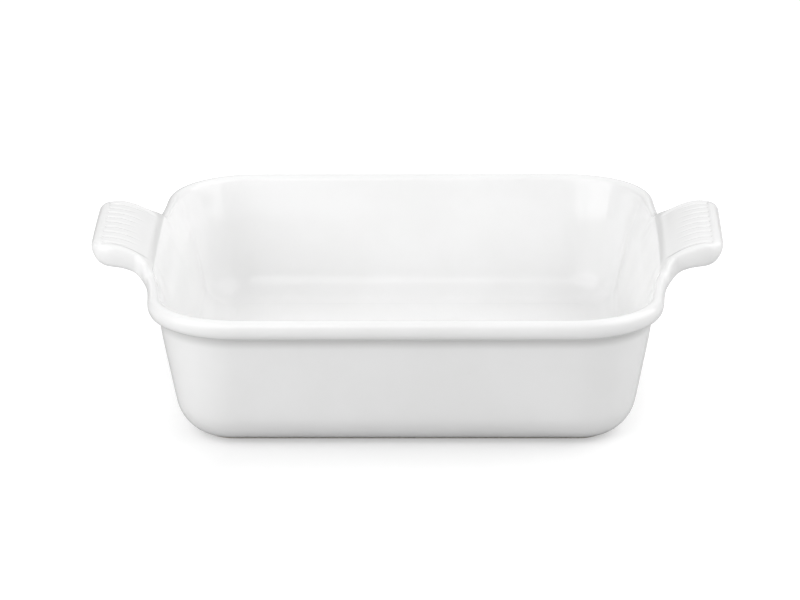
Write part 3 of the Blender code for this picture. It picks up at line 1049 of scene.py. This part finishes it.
def valley_shade_mark(fields):
    """1 in the valley behind a handle's ridge, where shade is painted as a darker glaze."""
    out, along, z = fields.spot()
    return fields.times(
        fields.ramp(out, *VALLEY_INNER), fields.ramp(out, *VALLEY_OUTER, 1.0, 0.0),
        fields.ramp(along, *VALLEY_HALF, 1.0, 0.0), fields.ramp(z, *VALLEY_HEIGHT))


def neck_shade_mark(fields):
    """1 where shade is painted on the neck under the bead, 0 beneath the handles and on the wall
    inside.

    Only what lies outside a rounded square is marked: one at NECK_INSET, and higher up a wider
    one, because the wall inside leans outwards there.
    """
    out, along, z = fields.spot()
    bend = corner_radius(NECK_INSET)
    past = [fields.math("MAXIMUM", fields.moved(way, NECK_INSET + bend - HALF_WIDTH), 0.0)
            for way in (out, along)]
    reach = fields.math("SQRT", fields.math(
        "ADD", fields.times(past[0], past[0]), fields.times(past[1], past[1])))
    reach = fields.math("SUBTRACT", reach, fields.ramp(z, *NECK_WIDENING, 0.0, NECK_WIDER))
    beneath = fields.times(fields.ramp(out, *BENEATH_HANDLE[0]),
                           fields.ramp(along, *BENEATH_HANDLE[1], 1.0, 0.0))
    return fields.times(
        fields.ramp(z, *NECK_LOW), fields.ramp(z, *NECK_HIGH, 1.0, 0.0),
        fields.ramp(reach, bend - NECK_FADE, bend + NECK_FADE),
        fields.math("SUBTRACT", 1.0, beneath))


def white_glaze():
    """Glossy white tin glaze: a milky body under a clear coat that lies a little unevenly."""
    material, fields, shader = surface("white glaze")
    paint = bpy.context.scene.dish_colours
    clouds = fields.ramp(noise(fields, GLAZE_CLOUDS, 3.0), 0.35, 0.65)
    tone = blend(fields, clouds, paint.glaze, paint.glaze_thin)
    specks = fields.ramp(noise(fields, GLAZE_SPECKS, 1.0, offset=3.0), 0.74, 0.8)
    tone = blend(fields, fields.times(specks, SPECK_TINT), tone, paint.speck)
    # Painted shade: darker glaze in the valley behind each handle's ridge
    tone = blend(fields, fields.times(valley_shade_mark(fields), VALLEY_SHADE_AMOUNT), tone, paint.valley)
    # Painted shade: darker glaze on the neck under the bead
    tone = blend(fields, neck_shade_mark(fields), tone, paint.neck)
    fields.tree.links.new(tone, shader.inputs["Base Color"])
    sheen = fields.ramp(noise(fields, GLAZE_SHEEN, 2.0, offset=1.0), 0.3, 0.7, 0.3, 0.38)
    fields.tree.links.new(sheen, shader.inputs["Roughness"])
    shader.inputs["Specular IOR Level"].default_value = 0.1
    shader.inputs["Coat Weight"].default_value = 1.0
    shader.inputs["Coat Roughness"].default_value = 0.12
    shader.inputs["Coat IOR"].default_value = 1.5
    swell = fields.moved(noise(fields, GLAZE_SWELL, 1.0, offset=5.0),
                         fields.times(noise(fields, GLAZE_RIPPLE, 2.0, offset=7.0), 0.12))
    set_bump(fields, shader, swell, 0.5 * MM, 0.25)
    return material


def bare_stoneware():
    """Unglazed foot: matt, sandy and a little worn where it stands."""
    material, fields, shader = surface("bare stoneware")
    paint = bpy.context.scene.dish_colours
    grain = noise(fields, STONEWARE_GRAIN, 3.0, 0.6)
    stain = fields.ramp(noise(fields, STONEWARE_STAINS, 3.0, offset=2.0), 0.45, 0.7)
    tone = blend(fields, fields.ramp(grain, 0.4, 0.62), paint.stoneware, paint.stoneware_dark)
    tone = blend(fields, fields.times(stain, STAIN_TINT), tone, paint.stain)
    fields.tree.links.new(tone, shader.inputs["Base Color"])
    fields.tree.links.new(fields.ramp(grain, 0.3, 0.7, 0.7, 0.9), shader.inputs["Roughness"])
    set_bump(fields, shader, grain, 0.12 * MM, 0.7)
    return material


def white_table():
    """Pale table: white to the camera, keeping the dish's shadow close in front, with painted
    light fading it further out.
    """
    material, fields, shader = surface("white table")
    paint = bpy.context.scene.dish_colours
    darker = [c * 0.99 for c in paint.table]
    tone = blend(fields, noise(fields, TABLE_CLOUDS, 3.0), darker, paint.table)
    fields.tree.links.new(tone, shader.inputs["Base Color"])
    shader.inputs["Roughness"].default_value = 0.7
    seen = fields.node("ShaderNodeLightPath").outputs["Is Camera Ray"]
    out, along, _ = fields.spot()
    # Painted light: a camera-only glow that grows away from the dish and fades its shadow
    away = fields.math("MAXIMUM", fields.moved(out, SIDE_LIFT), along)
    lift = fields.ramp(away, *LIFT_SPAN, paint.table_lift, paint.table_lift + FAR_LIFT)
    shader.inputs["Emission Color"].default_value = (1.0, 1.0, 1.0, 1.0)
    fields.tree.links.new(fields.times(seen, lift), shader.inputs["Emission Strength"])
    return material


def rounded_square(half, radius, steps):
    """Corners and sides of a rounded square in plan, counter-clockwise."""
    line = []
    for turn in range(4):
        for i in range(steps + 1):
            angle = math.pi / 2 * (turn + i / steps)
            centre = Matrix.Rotation(turn * math.pi / 2, 2) @ Vector((half - radius,) * 2)
            line.append(centre + radius * Vector((math.cos(angle), math.sin(angle))))
    return line


def foot_mesh():
    """Ring foot: a rounded rectangular section swept round a rounded square."""
    width, soft, turn = sizes().foot_width, FOOT_EDGE, FOOT_EDGE_MIDDLE
    top = UNDERSIDE + FOOT_OVERLAP
    section = ((width, top), (width, soft), (width - turn, turn), (width - soft, 0.0),
               (width / 2, 0.0), (soft, 0.0), (turn, turn), (0.0, soft), (0.0, top))
    bm = bmesh.new()
    rings = []
    for inset, z in section:
        half = FOOT_HALF - inset
        line = rounded_square(half, corner_radius(HALF_WIDTH - half), FOOT_CORNER_STEPS)
        rings.append([bm.verts.new((*at, z)) for at in line])
    for ring, beside in zip(rings, rings[1:] + rings[:1]):
        for i in range(len(ring)):
            j = (i + 1) % len(ring)
            face = bm.faces.new((ring[i], ring[j], beside[j], beside[i]))
            face.smooth = True
    bmesh.ops.recalc_face_normals(bm, faces=bm.faces)
    mesh = bpy.data.meshes.new("foot_ring")
    bm.to_mesh(mesh)
    bm.free()
    return mesh


class DISH_OT_floor(bpy.types.Operator):
    """Make the floor of the casting, inside and underneath"""

    bl_idname = "dish.floor"
    bl_label = "Floor"

    def execute(self, context):
        glazed_piece("floor", FLOOR, casting_skin().strip(0, LAST_ROW))
        return {"FINISHED"}


class DISH_OT_wall(bpy.types.Operator):
    """Make the wall with its coves"""

    bl_idname = "dish.wall"
    bl_label = "Wall"

    def execute(self, context):
        skin = casting_skin()
        glazed_piece("wall", WALL, skin.strip(0, LAST_ROW) + skin.strip(PARTING_ROW, ROOT_ROW))
        return {"FINISHED"}


class DISH_OT_rim(bpy.types.Operator):
    """Make the rolled rim"""

    bl_idname = "dish.rim"
    bl_label = "Rim"

    def execute(self, context):
        skin = casting_skin()
        caps = skin.strip(PARTING_ROW, ROOT_ROW)
        for span in handle_spans().values():
            caps += skin.cut(*span)
        glazed_piece("rim", RIM, caps)
        return {"FINISHED"}


class DISH_OT_handles(bpy.types.Operator):
    """Make both lug handles with their grip grooves"""

    bl_idname = "dish.handles"
    bl_label = "Handles"

    def execute(self, context):
        skin, spans = casting_skin(), handle_spans()
        glazed_piece("handle_right", HANDLE_RIGHT, skin.cut(*spans[0]))
        glazed_piece("handle_left", HANDLE_LEFT, skin.cut(*spans[2]))
        return {"FINISHED"}


class DISH_OT_foot(bpy.types.Operator):
    """Make the bare ring that the dish stands on"""

    bl_idname = "dish.foot"
    bl_label = "Foot ring"

    def execute(self, context):
        finished("foot_ring", foot_mesh(), bare_stoneware(), "foot_ring")
        return {"FINISHED"}


LAMPS = (
    # name, turn from the front and rise in degrees, distance, width, watts
    ("right", 90, 38, 1.5, 2.0, 13.8),
    ("front left", -45, 38, 1.5, 2.0, 12.7),
    ("back", 180, 38, 1.5, 2.0, 2.8),
    ("close left", -60, 14, 0.6, 0.5, 0.36),
)
LAMP_TARGET = Vector((0.0, 0.0, 0.03))
CAMERA_TURN, CAMERA_RISE, CAMERA_ROLL = 1.035, 18.11, -0.349  # degrees
CAMERA_HEIGHT = 0.035  # of the point on the dish's axis that it looks past
CAMERA_SLIDE = (-0.004058, 0.003347)  # from that point, to the right and up in the picture
CAMERA_DISTANCE = 2.431
FOCAL_PIXELS, PICTURE_WIDTH = 4956.0, 800
SENSOR_WIDTH = 36.0


def backward(turn, rise):
    """Way from the dish to what stands at a turn from the front and a rise, in degrees."""
    turn, rise = math.radians(turn), math.radians(rise)
    return Vector((math.sin(turn) * math.cos(rise), -math.cos(turn) * math.cos(rise),
                   math.sin(rise)))


def add_lamp(name, turn, rise, distance, width, watts):
    """Soft box on a circle round the dish, aimed at it."""
    place = distance * backward(turn, rise)
    data = bpy.data.lights.new(name, "AREA")
    data.shape = "RECTANGLE"
    data.size, data.size_y = width, width * 0.8
    data.energy = watts * bpy.context.scene.studio.power
    lamp = placed(name, data)
    aim = (place - LAMP_TARGET).to_track_quat("Z", "Y").to_matrix().to_4x4()
    lamp.matrix_world = Matrix.Translation(place) @ aim


def add_camera():
    """Camera where the photograph was taken from, fitted to the dish's outline."""
    back = backward(CAMERA_TURN, CAMERA_RISE)
    turn, roll = math.radians(CAMERA_TURN), math.radians(CAMERA_ROLL)
    level = Vector((math.cos(turn), math.sin(turn), 0.0))
    upright = back.cross(level)
    right = level * math.cos(roll) + upright * math.sin(roll)
    up = upright * math.cos(roll) - level * math.sin(roll)
    target = Vector((0.0, 0.0, CAMERA_HEIGHT)) + right * CAMERA_SLIDE[0] + up * CAMERA_SLIDE[1]
    data = bpy.data.cameras.new("camera")
    data.sensor_width = SENSOR_WIDTH
    data.lens = FOCAL_PIXELS / PICTURE_WIDTH * SENSOR_WIDTH
    data.clip_end = 50.0
    camera = placed("camera", data)
    pose = Matrix((right, up, back)).transposed().to_4x4()
    pose.translation = target + back * CAMERA_DISTANCE
    camera.matrix_world = pose
    bpy.context.scene.camera = camera


def add_floor():
    """The table, which isn't part of the dish."""
    bm = bmesh.new()
    bmesh.ops.create_grid(bm, x_segments=8, y_segments=8, size=TABLE_HALF)
    mesh = bpy.data.meshes.new("table")
    bm.to_mesh(mesh)
    bm.free()
    table = placed("table", mesh)
    mesh.materials.append(white_table())
    table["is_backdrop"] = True


def add_world():
    """White to the camera, and a plain soft light to the dish."""
    scene = bpy.context.scene
    world = scene.world or bpy.data.worlds.new("studio")
    scene.world = world
    world.use_nodes = True
    world.node_tree.nodes.clear()
    fields = Fields(world.node_tree)
    seen = fields.node("ShaderNodeLightPath").outputs["Is Camera Ray"]
    strength = fields.ramp(seen, 0.0, 1.0, scene.studio.ambient, 1.0)
    sky = fields.node("ShaderNodeBackground", (("Color", (1.0, 1.0, 1.0, 1.0)),
                                               ("Strength", strength)))
    fields.node("ShaderNodeOutputWorld", (("Surface", sky.outputs[0]),))


class DISH_OT_stage(bpy.types.Operator):
    """Set up the table, the lamps, the surroundings and the camera"""

    bl_idname = "dish.stage"
    bl_label = "Stage"

    def execute(self, context):
        context.scene.view_settings.view_transform = "Standard"
        add_floor()
        for lamp in LAMPS:
            add_lamp(*lamp)
        add_world()
        add_camera()
        return {"FINISHED"}


class DISH_PT_pieces(bpy.types.Panel):
    """Pieces of the dish and their sizes"""

    bl_idname = "DISH_PT_pieces"
    bl_label = "Baking dish"
    bl_space_type = "VIEW_3D"
    bl_region_type = "UI"
    bl_category = "Dish"

    def draw(self, context):
        for group in (context.scene.dish_sizes, context.scene.handle_sizes,
                      context.scene.groove_sizes, context.scene.dish_colours,
                      context.scene.studio):
            box = self.layout.box()
            for name in setting_names(group):
                box.prop(group, name)
        for operator in OPERATORS:
            self.layout.operator(operator.bl_idname)


OPERATORS = (DISH_OT_floor, DISH_OT_wall, DISH_OT_rim, DISH_OT_handles, DISH_OT_foot,
             DISH_OT_stage)
GROUPS = {"dish_sizes": DishSizes, "handle_sizes": HandleSizes, "groove_sizes": GrooveSizes,
          "dish_colours": DishColours, "studio": StudioLight}


def register():
    for group in GROUPS.values():
        bpy.utils.register_class(group)
    for name, group in GROUPS.items():
        setattr(bpy.types.Scene, name, PointerProperty(type=group))
    for operator in OPERATORS:
        bpy.utils.register_class(operator)
    bpy.utils.register_class(DISH_PT_pieces)


def unregister():
    bpy.utils.unregister_class(DISH_PT_pieces)
    for operator in reversed(OPERATORS):
        bpy.utils.unregister_class(operator)
    for name, group in GROUPS.items():
        delattr(bpy.types.Scene, name)
        bpy.utils.unregister_class(group)


def plain(corners):
    """A box's corners as lists of numbers, to be written down."""
    return [[float(c) for c in corner] for corner in corners]


def main():
    register()
    packed = plain(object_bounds())
    bpy.ops.dish.floor()
    bpy.ops.dish.wall()
    bpy.ops.dish.rim()
    bpy.ops.dish.handles()
    bpy.ops.dish.foot()
    bpy.ops.dish.stage()
    {"packed": packed, "visible": plain(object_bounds())}


if __name__ == "__main__":
    main()
